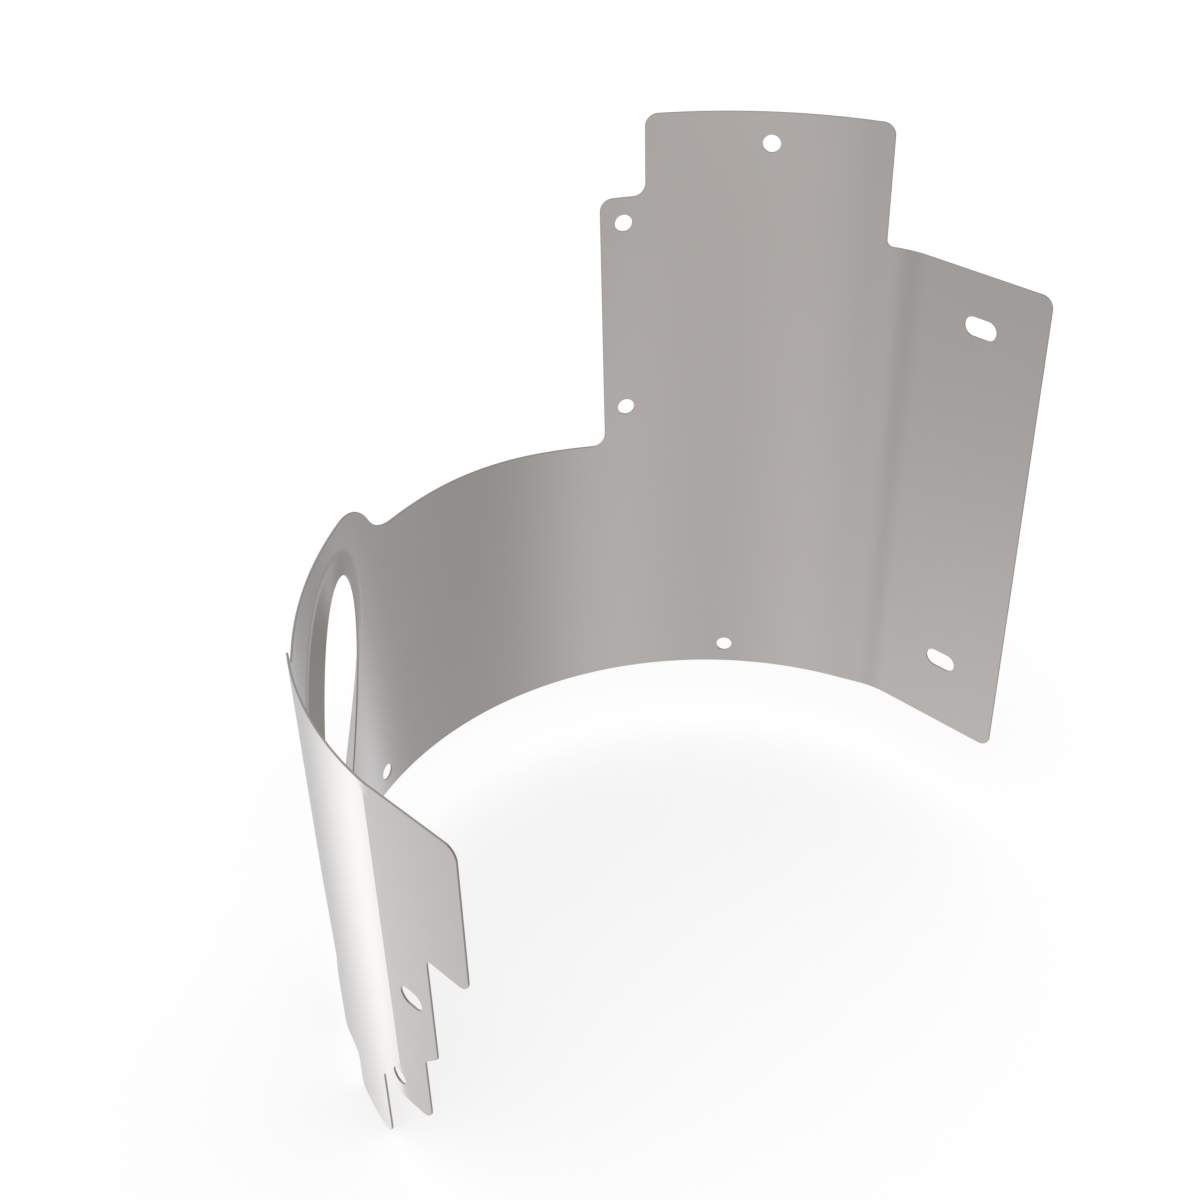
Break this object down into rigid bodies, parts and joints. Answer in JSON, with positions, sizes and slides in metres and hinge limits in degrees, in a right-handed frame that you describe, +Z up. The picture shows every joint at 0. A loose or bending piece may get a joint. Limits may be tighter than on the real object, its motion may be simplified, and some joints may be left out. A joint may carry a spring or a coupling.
{
  "type": "heat shield",
  "caption": "Sheet metal heat shield: a half-round wall with a tall tab, a drawn slanting pipe hole and a slotted flange down each side.",
  "frame": {"origin": "on the axis of the half-round wall, level with its plain bottom edge", "axes": "+Z up along the wall's axis, the back of the wall at -X, the wide flange at +Y and the stepped flange at -Y"},
  "size_m": [0.1821, 0.2984, 0.3003],
  "materials": {
    "steel_sheet": "satin"
  },
  "bodies": {
    "root": {"heat_shield": "steel_sheet"}
  },
  "joints": []
}
